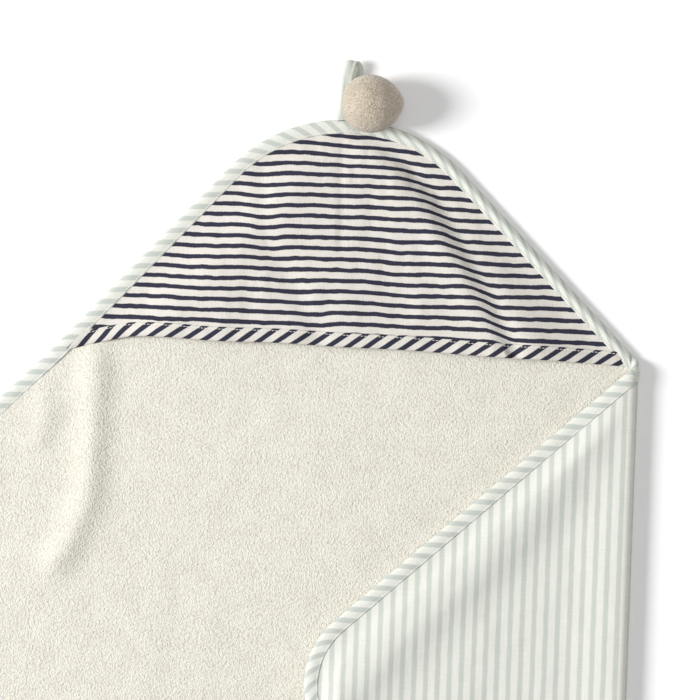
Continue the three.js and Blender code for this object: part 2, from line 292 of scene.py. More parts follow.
def ply(name, rows, from_x, to_x, columns, layer, body_share, turned_share, flip=False):
    """One ply as rows of points between two lines on the flat cloth."""
    spread = np.linspace(0, 1, columns)[None, :]
    across = from_x[:, None] + (to_x - from_x)[:, None] * spread
    points = ply_points(rows, across, layer, body_share, turned_share)
    cloth = np.stack([across, rows[:, None] + 0 * across, 0 * across], axis=-1)
    points = points.reshape(-1, 3)
    faces = grid_faces(len(rows), columns, points, flip=flip)
    return tidied(sheet_mesh(name, points, faces, cloth.reshape(-1, 3)))


def add(tree, kind, inputs=(), **settings):
    """A new node with its settings, and its inputs set to values or joined to other sockets."""
    node = tree.nodes.new(kind)
    for setting, value in settings.items():
        setattr(node, setting, value)
    for socket, value in dict(inputs).items():
        if isinstance(value, bpy.types.NodeSocket):
            tree.links.new(value, node.inputs[socket])
        else:
            node.inputs[socket].default_value = value
    return node


def calc(tree, operation, a, b=0.0, c=0.0):
    return add(tree, "ShaderNodeMath", {0: a, 1: b, 2: c}, operation=operation).outputs[0]


def new_group(name, inputs, outputs):
    """A shader node group with named sockets; returns its tree, its inputs and its output node."""
    tree = bpy.data.node_groups.new(name, "ShaderNodeTree")
    kinds = {"value": "NodeSocketFloat", "vector": "NodeSocketVector", "colour": "NodeSocketColor"}
    for socket, kind in inputs.items():
        tree.interface.new_socket(socket, in_out="INPUT", socket_type=kinds[kind])
    for socket, kind in outputs.items():
        tree.interface.new_socket(socket, in_out="OUTPUT", socket_type=kinds[kind])
    return tree, tree.nodes.new("NodeGroupInput").outputs, tree.nodes.new("NodeGroupOutput")


def new_material(name, **shader):
    """A material with its Principled shader; shader names its constant sockets."""
    material = bpy.data.materials.new(name)
    material.use_nodes = True
    tree = material.node_tree
    principled = tree.nodes["Principled BSDF"]
    for socket, value in shader.items():
        principled.inputs[socket.replace("_", " ")].default_value = value
    return material, tree, principled


def linear(red, green, blue):
    """A colour given in the usual 0 to 255 steps, as the shader wants it."""
    parts = [c / 255 for c in (red, green, blue)]
    return tuple(c / 12.92 if c <= 0.04045 else ((c + 0.055) / 1.055) ** 2.4 for c in parts) + (1.0,)


def tinted(tree, factor, a, b):
    return add(
        tree, "ShaderNodeMix", {0: factor, 6: a, 7: b}, data_type="RGBA"
    ).outputs[2]


# Loops of a towelling or plush surface: small round tufts of uneven height. Their tone is random patches
# plus painted shade between the tufts, darker where the pile is lower.
loops, given, result = new_group(
    "Looped pile", {"Cloth": "vector", "Loop size": "value"}, {"Tone and shade": "value", "Height": "value"}
)
scale = calc(loops, "DIVIDE", 1.0, given["Loop size"])
tufts = add(loops, "ShaderNodeTexVoronoi", {"Vector": given["Cloth"], "Scale": scale}, feature="F1")
drift = add(loops, "ShaderNodeTexNoise", {
    "Vector": given["Cloth"], "Scale": calc(loops, "MULTIPLY", scale, 0.6),
    "Detail": 3.0, "Roughness": 0.62,
})
patches = add(loops, "ShaderNodeTexNoise", {
    "Vector": given["Cloth"], "Scale": calc(loops, "MULTIPLY", scale, 0.08), "Detail": 2.0,
})
round_tuft = calc(loops, "SUBTRACT", 1.0, tufts.outputs["Distance"])
height = calc(loops, "MULTIPLY_ADD", round_tuft, 0.55, calc(loops, "MULTIPLY", drift.outputs["Fac"], 0.9))
# Painted shade: the tone follows the pile's height, so the gaps between tufts come out darker.
tone_and_shade = calc(loops, "MULTIPLY_ADD", patches.outputs["Fac"], 0.25, calc(loops, "MULTIPLY", height, 0.75))
loops.links.new(tone_and_shade, result.inputs["Tone and shade"])
loops.links.new(height, result.inputs["Height"])


def place_on_cloth(tree):
    return add(tree, "ShaderNodeAttribute", attribute_name="cloth").outputs["Vector"]


def pile_material(name, light, dark, loop_size, depth, **shader):
    """A looped or fleecy surface: light on the tufts and dark between them; the dark is painted shade in
    the gaps, with random patches mixed in.
    """
    material, tree, principled = new_material(name, Roughness=0.95, **shader)
    pile = add(tree, "ShaderNodeGroup", node_tree=loops)
    tree.links.new(place_on_cloth(tree), pile.inputs["Cloth"])
    pile.inputs["Loop size"].default_value = loop_size
    ramp = add(tree, "ShaderNodeMapRange", {0: pile.outputs["Tone and shade"], 1: 0.42, 2: 0.86},
               interpolation_type="SMOOTHSTEP")
    # Painted shade: the dark colour goes where the pile is low, between the tufts.
    tree.links.new(tinted(tree, ramp.outputs[0], dark, light), principled.inputs["Base Color"])
    bump = add(tree, "ShaderNodeBump", {
        "Height": pile.outputs["Height"], "Distance": depth * MM, "Strength": 1.0,
    })
    tree.links.new(bump.outputs["Normal"], principled.inputs["Normal"])
    return material


# The second, darker cream is painted shade between the terry loops.
terry_material = pile_material(
    "cream terry", linear(233, 230, 219), linear(210, 205, 192), 1.45, 0.9, Sheen_Weight=0.15
)

INSET = 4.0  # the plies stop inside the binding, this far from the towel's edge
TERRY_TOP = 4.5
ROW = 4  # distance between the rows of points
body_edge = outline(cloth_corners, INSET)
turned_edge = outline(turned_corners, INSET)
rows = row_heights(body_edge[:, 1].min() + 0.5, HINGE_Y, ROW)
left_x = edge_x(body_edge, rows, "left")
right_x = np.minimum(edge_x(body_edge, rows, "right"), FOLD_CENTRE)
terry = ply("terry_cloth", rows, left_x, right_x, 190, TERRY_TOP, 1, 0)
terry.data.materials.append(terry_material)
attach(terry, "towel")
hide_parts("terry_body")

FLAP_START = TURNED_BOTTOM[1] + 8  # the lowest row that reaches onto the turned corner
folded_rows = row_heights(FLAP_START, HINGE_Y, ROW)
turned_x = unturned(np.stack([edge_x(turned_edge, folded_rows, "left"), folded_rows], axis=1))[:, 0]
turned_terry = ply("terry_turned_cloth", folded_rows, np.full(len(folded_rows), FOLD_CENTRE),
                   np.maximum(turned_x, FOLD_CENTRE + FOLD_LENGTH), 90, TERRY_TOP, 0, 0.6)
turned_terry.data.materials.append(terry_material)
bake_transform(turned_terry)
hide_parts("terry_turned_corner")

hood_rows = row_heights(HINGE_Y, body_edge[:, 1].max() - 0.3, ROW)
hood_left = edge_x(body_edge, hood_rows, "left")
hood_right = np.minimum(edge_x(body_edge, hood_rows, "right"), FOLD_X - 2)


def hood_ply(name, layer, body_share, flip=False):
    piece = ply(name, hood_rows, hood_left, hood_right, 130, layer, 0, 0, flip=flip)
    places = np.array([vertex.co for vertex in piece.data.vertices]) / MM
    fade = body_share * np.exp(-(places[:, 1] - HINGE_Y) / 12)
    places[:, 2] += fade * body_lie(places[:, 0], np.full(len(places), HINGE_Y))
    piece.data.vertices.foreach_set("co", (places * MM).ravel())
    return piece


hood_terry = hood_ply("terry_hood_cloth", TERRY_TOP, 1)
hood_terry.data.materials.append(terry_material)
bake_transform(hood_terry)
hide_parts("terry_hood_corner")

# ------------------------------------------------------------------ backing
# Plain-woven cotton with narrow woven stripes in sage. It is the towel's outer side, seen here
# on the turned-over corner, where the stripes run along the fold.
BACKING_LOW = 0.2

# Plain weave: the over-and-under of the yarns, and yarns that are thicker in places. Its tone follows its
# height: painted shade, darker where the yarns dip under each other and where they are thin.
weave, given, result = new_group(
    "Plain weave", {"Cloth": "vector", "Yarn": "value"}, {"Tone and shade": "value", "Height": "value"}
)
place = add(weave, "ShaderNodeSeparateXYZ", {0: given["Cloth"]})
turns = calc(weave, "DIVIDE", math.pi, given["Yarn"])
warp = calc(weave, "SINE", calc(weave, "MULTIPLY", place.outputs["X"], turns))
weft = calc(weave, "SINE", calc(weave, "MULTIPLY", place.outputs["Y"], turns))
slubs = []
for stretch in ((0.9, 0.06, 1.0), (0.06, 0.9, 1.0)):
    stretched = add(weave, "ShaderNodeVectorMath", {0: given["Cloth"], 1: stretch}, operation="MULTIPLY")
    slubs.append(add(weave, "ShaderNodeTexNoise", {
        "Vector": stretched.outputs[0], "Scale": 1.0, "Detail": 2.0,
    }))
slub = calc(weave, "ADD", slubs[0].outputs["Fac"], slubs[1].outputs["Fac"])
crossing = calc(weave, "MULTIPLY_ADD", calc(weave, "MULTIPLY", warp, weft), 0.25, 0.5)
# Painted shade: the yarn tone rises and falls with the weave's height.
yarn_tone_and_shade = calc(weave, "MULTIPLY_ADD", crossing, 0.3, calc(weave, "MULTIPLY", slub, 0.35))
weave.links.new(yarn_tone_and_shade, result.inputs["Tone and shade"])
weave.links.new(calc(weave, "ADD", crossing, slub), result.inputs["Height"])

# Woven stripes: pitch and width in millimetres, with edges that wander a little.
stripes, given, result = new_group(
    "Woven stripes",
    {socket: "value" for socket in ("Across", "Along", "Pitch", "Width", "Soft", "Wander")},
    {"Mask": "value"},
)
where = add(stripes, "ShaderNodeCombineXYZ", {0: calc(stripes, "MULTIPLY", given["Along"], 0.09),
                                              1: calc(stripes, "MULTIPLY", given["Across"], 0.11)})
slow = add(stripes, "ShaderNodeTexNoise", {"Vector": where.outputs[0], "Scale": 1.0, "Detail": 1.0})
nearby = add(stripes, "ShaderNodeCombineXYZ", {0: calc(stripes, "MULTIPLY", given["Along"], 0.8),
                                               1: calc(stripes, "MULTIPLY", given["Across"], 0.8)})
quick = add(stripes, "ShaderNodeTexNoise", {"Vector": nearby.outputs[0], "Scale": 1.0, "Detail": 2.0})
offset = calc(stripes, "SUBTRACT", slow.outputs["Fac"], 0.5)
twice_wander = calc(stripes, "MULTIPLY", given["Wander"], 2.0)
moved = calc(stripes, "MULTIPLY_ADD", offset, twice_wander, given["Across"])
rough = calc(stripes, "MULTIPLY", calc(stripes, "SUBTRACT", quick.outputs["Fac"], 0.5), given["Wander"])
phase = calc(stripes, "FRACT", calc(stripes, "DIVIDE", moved, given["Pitch"]))
from_middle = calc(stripes, "ABSOLUTE", calc(stripes, "SUBTRACT", phase, 0.5))
off_middle = calc(stripes, "MULTIPLY", from_middle, given["Pitch"])
half_width = calc(stripes, "MULTIPLY", given["Width"], 0.5)
to_edge = calc(stripes, "ADD", calc(stripes, "SUBTRACT", half_width, off_middle), rough)
mask = add(stripes, "ShaderNodeMapRange", {
    0: to_edge, 1: calc(stripes, "MULTIPLY", given["Soft"], -1.0), 2: given["Soft"],
}, interpolation_type="SMOOTHSTEP")
stripes.links.new(mask.outputs[0], result.inputs["Mask"])


def striped_cotton(name, ground, ground_shaded, stripe, stripe_shaded, pitch, width, soft, wander, yarn,
                   lean=0.0, depth=0.12, **shader):
    """Plain-woven striped cotton. lean is the angle of the stripes to the cloth's first direction. The
    darker copy of each colour is painted shade where the weave is low.
    """
    material, tree, principled = new_material(name, Roughness=0.9, **shader)
    cloth = place_on_cloth(tree)
    parts = add(tree, "ShaderNodeSeparateXYZ", {0: cloth})
    c, s = math.cos(lean), math.sin(lean)
    x, y = parts.outputs["X"], parts.outputs["Y"]
    across = calc(tree, "MULTIPLY_ADD", x, s, calc(tree, "MULTIPLY", y, c))
    along = calc(tree, "MULTIPLY_ADD", x, c, calc(tree, "MULTIPLY", y, -s))
    band = add(tree, "ShaderNodeGroup", node_tree=stripes)
    cotton = add(tree, "ShaderNodeGroup", node_tree=weave)
    for socket, value in (("Pitch", pitch), ("Width", width), ("Soft", soft), ("Wander", wander)):
        band.inputs[socket].default_value = value
    tree.links.new(across, band.inputs["Across"])
    tree.links.new(along, band.inputs["Along"])
    tree.links.new(cloth, cotton.inputs["Cloth"])
    cotton.inputs["Yarn"].default_value = yarn
    tone_and_shade = add(tree, "ShaderNodeMapRange", {0: cotton.outputs["Tone and shade"], 1: 0.3, 2: 0.7}).outputs[0]
    # The darker copies of the ground and stripe colours are painted shade, mixed in where the weave is low.
    plain = tinted(tree, tone_and_shade, ground_shaded, ground)
    dyed = tinted(tree, tone_and_shade, stripe_shaded, stripe)
    tree.links.new(tinted(tree, band.outputs["Mask"], plain, dyed), principled.inputs["Base Color"])
    bump = add(tree, "ShaderNodeBump", {"Height": cotton.outputs["Height"], "Distance": depth * MM})
    tree.links.new(bump.outputs["Normal"], principled.inputs["Normal"])
    return material


# The second and fourth colours are painted shade in the low places of the weave.
backing_material = striped_cotton(
    "sage striped cotton",
    linear(230, 230, 222), linear(215, 216, 206), linear(203, 207, 199), linear(188, 193, 185),
    pitch=9.95, width=4.2, soft=0.8, wander=0.45, yarn=0.5, lean=math.pi / 2, Sheen_Weight=0.05,
)

beside_flap = rows >= FLAP_START
far = unturned(np.stack([edge_x(turned_edge, rows, "left"), rows], axis=1))[:, 0]
flat_right = np.where(beside_flap, np.maximum(far, FOLD_CENTRE + FOLD_LENGTH), right_x)
over_body, over_bend, over_flap = (np.linspace(0, 1, count)[None, :] for count in (150, 18, 130))
fold_end = np.where(beside_flap, FOLD_CENTRE + FOLD_LENGTH, right_x)
across = np.concatenate([
    left_x[:, None] + (right_x - left_x)[:, None] * over_body,
    right_x[:, None] + (fold_end - right_x)[:, None] * over_bend,
    fold_end[:, None] + (flat_right - fold_end)[:, None] * over_flap,
], axis=1)
points = ply_points(rows, across, BACKING_LOW, 0, 1).reshape(-1, 3)
cloth = np.stack([across, rows[:, None] + 0 * across, 0 * across], axis=-1).reshape(-1, 3)
faces = grid_faces(len(rows), across.shape[1], points, flip=True)
backing = tidied(sheet_mesh("backing_cloth", points, faces, cloth))
backing.data.materials.append(backing_material)
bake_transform(backing)
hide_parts("backing_body", "backing_turned_corner")

hood_backing = hood_ply("backing_hood_cloth", BACKING_LOW, 0, flip=True)
hood_backing.data.materials.append(backing_material)
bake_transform(hood_backing)
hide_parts("backing_hood_corner")

# ------------------------------------------------------------------ edge binding
# A bias strip of the striped cotton, folded over the edges of both plies and stitched through
# near its inner edge. On the hood it takes in the hood panel too.
BINDING = 12.0


def swept(name, path, normals, profile, place, drawn=None, first=0, last=None):
    """A strip that follows a path. profile gives (distance in from the edge, height) pairs, and
    place turns a path station, distance and height into a point."""
    run = np.concatenate([[0], np.cumsum(np.linalg.norm(np.diff(path, axis=0), axis=1))])
    flat, height, cloth = [], [], []
    pull = np.zeros(len(path)) if drawn is None else drawn(path)
    along = np.concatenate([[0], np.cumsum(np.diff(run) * (1 - 0.18 * pull[1:]))])
    stations = range(first, len(path) if last is None else last)
    for k in stations:
        shape = np.array(profile(run[k], path[k]))
        girth = np.concatenate([[0], np.cumsum(np.linalg.norm(np.diff(shape, axis=0), axis=1))])
        flat.append(path[k] + normals[k] * shape[:, :1])
        height.append(shape[:, 1])
        station = np.full(len(shape), along[k])
        cloth.append(np.stack([station, girth * (1 + 0.8 * pull[k]), 0 * girth], axis=-1))
    columns = len(cloth[0])
    points, cloth = place(np.concatenate(flat), np.concatenate(height)), np.concatenate(cloth)
    faces = grid_faces(len(stations), columns, points)
    return sheet_mesh(name, points, faces, cloth)


def path_normals(path):
    along = np.gradient(path, axis=0)
    along /= np.linalg.norm(along, axis=1)[:, None]
    return np.stack([-along[:, 1], along[:, 0]], axis=1)


def resampled(path, step):
    run = np.concatenate([[0], np.cumsum(np.linalg.norm(np.diff(path, axis=0), axis=1))])
    stations = np.linspace(0, run[-1], round(run[-1] / step) + 1)
    return np.stack([np.interp(stations, run, path[:, k]) for k in (0, 1)], axis=1)


def keep_side(piece, point, normal):
    """Cuts the mesh with a plane, in millimetres, and keeps the side that the normal points to."""
    work = bmesh.new()
    work.from_mesh(piece.data)
    geometry = work.verts[:] + work.edges[:] + work.faces[:]
    bmesh.ops.bisect_plane(work, geom=geometry, dist=1e-7, plane_co=Vector(point) * MM,
                           plane_no=Vector(normal), clear_inner=True)
    work.to_mesh(piece.data)
    work.free()
    return piece


# The towel's edge on the flat cloth, anticlockwise from the hood's tip.
start = int(np.argmax(cloth_line[:, 1]))
ring = np.roll(cloth_line, -start, axis=0)
first_over = next(k for k, p in enumerate(ring) if p[0] > FOLD_CENTRE and p[1] < 0)
last_over = max(k for k, p in enumerate(ring) if p[0] > FOLD_CENTRE and p[1] > 0)
flap = side_of(turned_line, "left")
flap = unturned(flap[(flap[:, 0] < FOLD_CENTRE)])
edge_path = np.concatenate([ring[:first_over], flap, ring[last_over + 1:], ring[:1]])
edge_path = resampled(edge_path, 2.5)
edge_normals = path_normals(np.concatenate([edge_path[-2:-1], edge_path, edge_path[1:2]]))[1:-1]


def rolled_share(path):
    """How far the strip is drawn and rolled: fully along the hood's right side."""
    path = np.atleast_2d(path)
    on_hood = smooth(path[:, 1], HINGE_Y - 25, HINGE_Y + 20) * (path[:, 0] < FOLD_CENTRE + FOLD_LENGTH)
    return on_hood * smooth(path[:, 0], 10, 60)


def binding_profile(run, at):
    on_flap = smooth(at[0], FOLD_CENTRE, FOLD_CENTRE + FOLD_LENGTH)
    top = 5.0 + 1.6 * smooth(at[1], HINGE_Y - 25, HINGE_Y + 20) * (1 - on_flap)
    rolled = float(rolled_share(at)[0])
    width = BINDING - 1.2 * rolled
    puff = 0.35 + 1.3 * rolled + 0.15 * math.sin(run / 7.3) + 0.1 * math.sin(run / 3.1)
    under = (0.75 + 0.2 * math.sin(run / 6.7) + 0.1 * math.sin(run / 2.9)) * on_flap
    shape = [(width, top - 1.9), (width + 0.1, top - 0.7), (width - 0.5, top - 0.15)]
    shape += [(width - 1.3, top - 0.05)]
    shape += [(width - 1.8, top - 0.22), (width - 2.4, top), (width - 4, top + puff * 0.7)]
    shape += [(width - 6, top + puff), (3.6, top + puff * 0.7), (1.7, top - 0.15), (0.5, top - 1.1)]
    shape += [(0.0, top * 0.5), (0.4, 0.9), (1.5, 0.2 - under * 0.4), (3.5, 0.02 - under * 0.9)]
    shape += [(6, 0.0 - under)]
    shape += [(width - 2.6, -under * 0.75), (width - 1.8, -under * 0.4), (width - 1.1, -under * 0.65)]
    shape += [(width - 0.3, -under * 0.5), (width, 0.5 * on_flap), (width - 0.1, 1.2 * on_flap)]
    return shape


def on_towel(flat, height):
    return laid(flat[:, 0], flat[:, 1], height)


# The second and fourth colours are painted shade in the low places of the weave.
binding_material = striped_cotton(
    "sage bias strip",
    linear(229, 230, 222), linear(213, 215, 205), linear(198, 203, 196), linear(185, 191, 184),
    pitch=9.9, width=4.3, soft=0.45, wander=0.3, yarn=0.5, lean=math.radians(-45), depth=0.12,
    Sheen_Weight=0.05,
)
over_fold = next(k for k, p in enumerate(edge_path) if p[0] > FOLD_CENTRE and p[1] < 0)
binding_run = (edge_path, edge_normals, binding_profile, on_towel, rolled_share)
body_strip = swept("edge_binding_body_cloth", *binding_run, last=over_fold)
flap_strip = swept("edge_binding_flap_cloth", *binding_run, first=over_fold - 1)
hood_strip = swept("edge_binding_hood_cloth", *binding_run)
for piece, side in ((body_strip, -1), (flap_strip, -1), (hood_strip, 1)):
    tidied(keep_side(piece, (0, HINGE_Y, 0), (0, side, 0)))
    piece.data.materials.append(binding_material)
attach(body_strip, "towel")
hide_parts("edge_binding_body")
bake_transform(flap_strip)
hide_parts("edge_binding_turned_corner")
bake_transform(hood_strip)
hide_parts("edge_binding_hood")

# ------------------------------------------------------------------ hood panel
# Crinkled double gauze in hand-drawn navy stripes, cut to the hood's corner and caught in the
# edge binding. It stands up in the middle, where the head goes in.
FRONT_KNOTS = np.array([
    (-250, -9), (-235, -4), (-198, 6), (-180, 10), (-148, 11), (-115, 9.5), (-49, 9.5), (0, 8),
    (59, 7.2), (87, 6), (135, 4), (180, 3), (212, 1.6), (252, 0),
], float)


def front_y(x):
    """Height in plan of the hood's front edge, a smooth curve through its knots."""
    x = np.asarray(x, float)
    k = FRONT_KNOTS
    slopes = np.gradient(k[:, 1], k[:, 0])
    i = np.clip(np.searchsorted(k[:, 0], x) - 1, 0, len(k) - 2)
    span = k[i + 1, 0] - k[i, 0]
    t = np.clip((x - k[i, 0]) / span, 0, 1)
    rise = (2 * t**3 - 3 * t**2 + 1) * k[i, 1] + (t**3 - 2 * t**2 + t) * span * slopes[i]
    rise += (-2 * t**3 + 3 * t**2) * k[i + 1, 1] + (t**3 - t**2) * span * slopes[i + 1]
    return HOOD_LINE + rise


PANEL_LOW = 4.8
PANEL_CROWN = 8.0
RIPPLE = [(10, 492), (33, 459), (68, 422), (95, 377), (122, 331), (137, 300)]
VALLEY = [(-72, 470), (-72, 438), (-70, 390), (-48, 352), (-24, 318), (-16, 300)]
hood_sides = [side_of(cloth_line, s) for s in ("left", "right")]


def panel_height(x, y):
    edge = np.minimum(*(from_line(x, y, line)[0] for line in hood_sides))
    lift = PANEL_CROWN * smooth(edge, 12, 60)
    give = smooth(edge, 10, 30)
    distance, sign, share = from_line(x, y, np.array(RIPPLE, float))
    slope = -sign * distance
    rucked = 2.6 * np.exp(-(((slope + 8) / 12) ** 2)) - 3.0 * np.exp(-(((slope - 8) / 9) ** 2))
    lift += give * rucked * smooth(share, 0, 0.2)
    lift -= give * 1.7 * np.exp(-((from_line(x, y, np.array(VALLEY, float))[0] / 10) ** 2))
    lift -= give * 0.7 * np.exp(-((from_line(x, y, np.array([(-6, 485), (-3, 377)], float))[0] / 3) ** 2))
    lift += give * (0.8 * waves(x + 3, 0.35 * y, 24, 21) + 0.5 * waves(x, 0.3 * y, 11, 22))
    gathered = smooth(y, HOOD_LINE + 110, HOOD_LINE + 180)
    lift += (0.22 + 0.3 * gathered) * smooth(edge, 9, 14) * waves(x, 0.3 * y, 5.5, 23)
    return PANEL_LOW + lift


columns = np.arange(-240, FOLD_X + 0.1, 2.0)
low_y = front_y(columns) + 3.5
panel_edge = outline(cloth_corners, 7)
top_side = side_of(panel_edge, "left"), side_of(panel_edge, "right")


def edge_y(x):
    """Height in plan of the hood's outer edge, less the seam, above each x."""
    result = np.full(len(x), -1e3)
    for side in top_side:
        above = side[side[:, 1] > HINGE_Y - 40]
        order = np.argsort(above[:, 0])
        inside = (x >= above[order[0], 0]) & (x <= above[order[-1], 0])
        reached = np.interp(x, above[order, 0], above[order, 1])
        result = np.where(inside, np.maximum(result, reached), result)
    return result


high_y = edge_y(columns)
keep = high_y > low_y + 0.5
columns, low_y, high_y = columns[keep], low_y[keep], high_y[keep]
PANEL_ROWS = 110
share = np.linspace(0, 1, PANEL_ROWS)[:, None]
x = np.broadcast_to(columns[None, :], (PANEL_ROWS, len(columns)))
y = low_y + (high_y - low_y) * share
z = panel_height(x, y) + 1.2
# Each stripe follows the front edge on the left, and drops where the cloth is rucked.
distance, sign, passed = from_line(x, y, np.array(RIPPLE, float))
step_down = smooth(-sign * distance, -9, 13)
step_down += (smooth(-sign * distance, -55, 60) - step_down) * (1 - smooth(passed, 0.1, 0.42))
across_stripes = y - HOOD_LINE - 8.6 * (1 - step_down) - 1.0 * step_down
across_stripes += 4.2 + 0.9 * waves(x, y, 60, 31) + 0.5 * waves(x, y * 0.6, 22, 32)
across_stripes += 0.3 * waves(x, y * 0.5, 6, 33)
distance = from_line(x, y, np.array(VALLEY, float))[0]
across_stripes += 1.6 * np.exp(-((distance / 13) ** 2))
points = np.stack([x, y, z], axis=-1).reshape(-1, 3)
cloth = np.stack([x, across_stripes, 0 * x], axis=-1).reshape(-1, 3)
faces = grid_faces(PANEL_ROWS, len(columns), points)
panel = tidied(sheet_mesh("hood_panel_cloth", points, faces, cloth))
# The second and fourth colours are painted shade in the low places of the weave.
gauze_material = striped_cotton(
    "navy striped gauze",
    linear(231, 227, 220), linear(212, 207, 198), linear(46, 46, 68), linear(30, 30, 48),
    pitch=9.0, width=3.75, soft=0.3, wander=0.75, yarn=0.7, depth=0.35, Sheen_Weight=0.05,
)
panel.data.materials.append(gauze_material)
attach(panel, "hood")
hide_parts("hood_panel")

# ------------------------------------------------------------------ front binding
# A bias strip of the same gauze, folded over the front edge of the hood panel and stitched
# through near its upper edge, with pale thread.
front_x = np.linspace(HOOD_LEFT[0] + 4, 243, 330)
front_path = np.stack([front_x, front_y(front_x)], axis=1)
front_normals = path_normals(front_path)


def front_profile(run, at):
    puff = 0.5 + 0.2 * math.sin(run / 6.1) + 0.12 * math.sin(run / 2.7)
    left_end = smooth(at[0], front_x[0], front_x[0] + 14)
    right_end = smooth(-at[0], -front_x[-1], 14 - front_x[-1])
    tucked = float(left_end * right_end)
    shape = [(12, 1.1), (12.1, 1.9), (11.5, 2.35), (10.6, 2.3), (9.9, 2.05), (9.2, 2.35)]
    shape += [(7.5, 2.5 + 0.7 * puff), (5.5, 2.5 + puff), (3.5, 2.5 + 0.8 * puff), (1.6, 2.2)]
    shape += [(0.5, 1.5), (0, 0.7), (0.4, -0.1), (1.4, -0.6), (4, -0.8), (12, -0.6)]
    return [(inset, height * (0.2 + 0.8 * tucked)) for inset, height in shape]


def on_panel(flat, height):
    base = panel_height(flat[:, 0], flat[:, 1])
    return np.stack([flat[:, 0], flat[:, 1], base + height], axis=-1)


front = swept("hood_front_binding_cloth", front_path, front_normals, front_profile, on_panel)
# The second and fourth colours are painted shade in the low places of the weave.
front_material = striped_cotton(
    "navy bias strip",
    linear(229, 225, 218), linear(212, 207, 198), linear(46, 46, 68), linear(30, 30, 48),
    pitch=9.3, width=4.1, soft=0.3, wander=0.35, yarn=0.7, lean=math.radians(38), depth=0.3,
    Sheen_Weight=0.05,
)
front.data.materials.append(front_material)
left_inward, right_inward = inward(TIP, HOOD_LEFT), inward(RIGHT, TIP)
keep_side(front, (*(HOOD_LEFT + left_inward * 9), 0), (*left_inward, 0))
keep_side(front, (*(TIP + right_inward * 7), 0), (*right_inward, 0))
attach(front, "hood")
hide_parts("hood_front_binding")

# ------------------------------------------------------------------ stitching
# Lockstitch seams in pale cotton thread. The outer seam holds the edge binding to both plies, and
# the front seam holds the front binding to the hood panel. Each stitch is a short raised spindle.
def stitches(name, stations, tangents, normals, heights, length, width):
    """Short raised stitches, each a flattened spindle along its own tangent."""
    ring = [(math.cos(a), math.sin(a)) for a in np.linspace(0, 2 * math.pi, 6, endpoint=False)]
    verts, faces, cloth = [], [], []
    for at, along, side, z in zip(stations, tangents, normals, heights):
        base = len(verts)
        for s, r in ((-0.5, 0.35), (-0.3, 0.9), (0.3, 0.9), (0.5, 0.35)):
            for c, h in ring:
                flat = at + along * length * s + side * width / 2 * c * r
                verts.append((flat[0], flat[1], z + width * 0.4 * h * r))
                cloth.append((length * s, c, h))
        for k in range(3):
            for m in range(6):
                faces.append([base + k * 6 + m, base + k * 6 + (m + 1) % 6,
                              base + (k + 1) * 6 + (m + 1) % 6, base + (k + 1) * 6 + m])
        faces.append([base + m for m in range(5, -1, -1)])
        faces.append([base + 18 + m for m in range(6)])
    return sheet_mesh(name, np.array(verts), faces, np.array(cloth))


thread_material, tree, principled = new_material(
    "pale thread", Roughness=0.7, Base_Color=linear(238, 234, 222)
)
STITCH = 3.0


def seam_along(path, normals, inset):
    """Stations for stitches along a path, set in from it by inset."""
    run = np.concatenate([[0], np.cumsum(np.linalg.norm(np.diff(path, axis=0), axis=1))])
    stations = np.arange(STITCH / 2, run[-1], STITCH)
    at = np.stack([np.interp(stations, run, path[:, k]) for k in (0, 1)], axis=1)
    side = np.stack([np.interp(stations, run, normals[:, k]) for k in (0, 1)], axis=1)
    side /= np.linalg.norm(side, axis=1)[:, None]
    return at + side * inset, side, stations


flat_at, side, stations = seam_along(edge_path, edge_normals, BINDING - 1.8)
for name, body, node in (
    ("edge_stitches_body", "towel", "edge_seam_thread_body"),
    ("edge_stitches_hood", "hood", "edge_seam_thread_hood"),
    ("edge_stitches_turned", "turned_corner", "edge_seam_thread_turned_corner"),
):
    at, along, across_seam, height = [], [], [], []
    for flat, normal, run in zip(flat_at, side, stations):
        tangent = np.array((normal[1], -normal[0]))
        width_change = BINDING - 1.2 * smooth(flat[0], 10, 60) * (flat[1] > HINGE_Y)
        here = laid(flat[0], flat[1], 5.05)
        ahead = laid(flat[0] + tangent[0], flat[1] + tangent[1], 5.05)
        turned_over = flat[0] > FOLD_CENTRE + FOLD_LENGTH
        on_hood = flat[1] > HINGE_Y and not turned_over
        mine = "hood" if on_hood else "turned_corner" if turned_over else "towel"
        if mine != body or FOLD_CENTRE - 2 < flat[0] < FOLD_CENTRE + FOLD_LENGTH + 1:
            continue
        level = 5.0 + 1.6 * smooth(flat[1], HINGE_Y - 25, HINGE_Y + 20) * (not turned_over)
        shown = laid(flat[0], flat[1], BACKING_LOW - 0.05) if turned_over else laid(flat[0], flat[1], level)
        direction = (ahead - here)[:2]
        direction /= np.linalg.norm(direction)
        inward_shift = (BINDING - width_change) * np.array((-tangent[1], tangent[0]))
        at.append(shown[:2] - (inward_shift if not turned_over else 0))
        along.append(direction)
        across_seam.append(np.array((-direction[1], direction[0])))
        height.append(shown[2] + (0.15 if turned_over else -0.05))
    seam = stitches(name, at, along, across_seam, height, 2.3, 0.55)
    seam.data.materials.append(thread_material)
    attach(seam, body)
    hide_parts(node)

flat_at, side, stations = seam_along(front_path, front_normals, 10.2)
tangents = np.stack([side[:, 1], -side[:, 0]], axis=1)
heights = panel_height(flat_at[:, 0], flat_at[:, 1]) + 2.25
front_seam = stitches("front_stitches", flat_at, tangents, side, heights, 2.2, 0.6)
front_seam.data.materials.append(thread_material)
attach(front_seam, "hood")
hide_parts("hood_front_seam_thread")

# ------------------------------------------------------------------ hanging loop
# A length of the bias strip folded end to end, its two ends caught in the edge binding at the
# hood's tip beside the bobble, so that the towel can hang on a hook.
LOOP_WIDTH = 10.0


